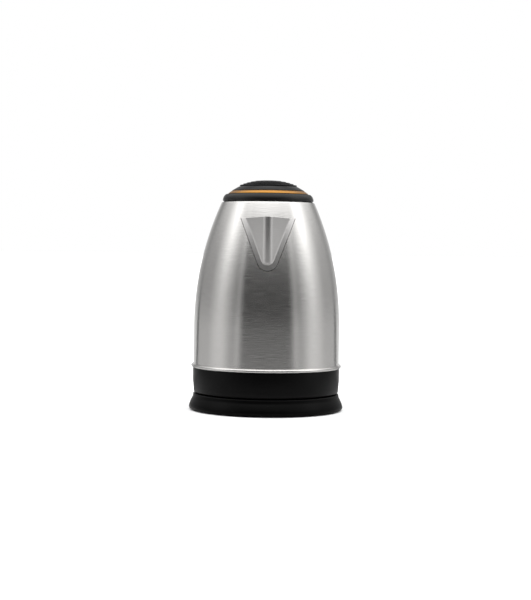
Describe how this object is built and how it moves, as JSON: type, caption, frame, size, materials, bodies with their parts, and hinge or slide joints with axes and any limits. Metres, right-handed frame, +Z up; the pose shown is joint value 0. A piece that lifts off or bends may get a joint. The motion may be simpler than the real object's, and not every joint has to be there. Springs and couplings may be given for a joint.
{
  "type": "cordless electric kettle",
  "caption": "Tapered steel electric kettle with a beak spout, hinged domed lid and rear handle, standing on a round power base it lifts off.",
  "frame": {"origin": "centre of the power base's foot ring, on the table it stands on", "axes": "+Z up along the jug's axis; -Y is the front, where the spout pours; +Y is the back, with the handle; +X is to the right of the spout seen from the front"},
  "size_m": [0.158, 0.2003, 0.235],
  "materials": {
    "jug_steel": "fine horizontal brushing, warm grey",
    "spout_steel": "satin, brushed along the flanks",
    "inner_steel": "plain rolled",
    "screw_steel": "bright zinc",
    "spring_steel": "bright wire",
    "spreader_aluminium": "mill finish",
    "element_metal": "dull, heat-stained",
    "brass": "plain",
    "amber_band": "metallic amber, glossy",
    "lid_black": "glossy black",
    "collar_black": "glossy black",
    "housing_black": "semi-gloss black",
    "base_black": "semi-gloss black",
    "handle_black": "glossy black",
    "grip_black": "fine-grained black",
    "socket_black": "black phenolic",
    "rubber_black": "soft black",
    "ivory_plastic": "heat-proof moulding",
    "lens_amber": "clear amber",
    "lever_amber": "tinted amber",
    "lamp_glass": "small neon lamp"
  },
  "bodies": {
    "power_base": {"base_cover": "base_black", "base_bottom": "base_black", "base_socket": "socket_black", "earth_contact": "brass", "live_contact": "brass", "neutral_contact": "brass", "foot_ring": "rubber_black", "base_screws": "screw_steel", "cord_gland": "rubber_black"},
    "connector": {"connector_body": "ivory_plastic", "connector_pin": "brass", "live_ring": "brass", "neutral_ring": "brass"},
    "kettle": {"steel_jug": "jug_steel", "spout": "spout_steel", "jug_floor": "inner_steel", "heat_spreader": "spreader_aluminium", "heating_element": "element_metal", "controller": "socket_black", "dry_boil_cutouts": "inner_steel", "steam_switch": "brass", "lower_housing": "housing_black", "underside_cover": "base_black", "housing_screws": "screw_steel", "collar": "collar_black", "collar_seal": "rubber_black", "hinge_pin": "screw_steel", "lid_spring": "spring_steel", "latch_carrier": "socket_black", "button_spring": "spring_steel", "handle_outer": "handle_black", "handle_inner": "grip_black", "handle_bracket": "inner_steel", "bracket_screws": "screw_steel", "handle_screws": "screw_steel", "steam_tube": "ivory_plastic", "steam_grommet": "rubber_black", "pilot_lamp": "lamp_glass", "pilot_lens": "lens_amber", "lever_shaft": "screw_steel"},
    "lid": {"lid_base": "lid_black", "lid_cap": "lid_black", "lid_band": "amber_band", "lid_plate": "inner_steel", "lid_seal": "rubber_black", "lid_screws": "screw_steel"},
    "button": {"lid_button": "handle_black"},
    "latch": {"lid_latch": "ivory_plastic"},
    "lever": {"switch_lever": "lever_amber"}
  },
  "joints": [
    {"name": "kettle_lift", "type": "slide", "parent": "power_base", "child": "connector", "axis": [0, 0, 1], "range_m": [0, 0.08]},
    {"name": "kettle_swivel", "type": "hinge", "parent": "connector", "child": "kettle", "pos_m": [0, 0, 0.029], "axis": [0, 0, 1], "continuous": true},
    {"name": "lid_hinge", "type": "hinge", "parent": "kettle", "child": "lid", "pos_m": [0, 0.049, 0.2182], "axis": [-1, 0, 0], "range_deg": [0, 80]},
    {"name": "button_press", "type": "slide", "parent": "kettle", "child": "button", "axis": [0, 0, -1], "range_m": [0, 0.003], "stiffness_N_per_m": 400, "springref_m": -0.002, "deforming": ["button_spring"]},
    {"name": "latch_slide", "type": "slide", "parent": "kettle", "child": "latch", "axis": [0, 1, 0], "range_m": [0, 0.003]},
    {"name": "switch_tilt", "type": "hinge", "parent": "kettle", "child": "lever", "pos_m": [0, 0.066, 0.0265], "axis": [-1, 0, 0], "range_deg": [0, 10]}
  ],
  "couplings": [
    {"joint": "latch_slide", "follows": "button_press", "ratio": 1}
  ]
}
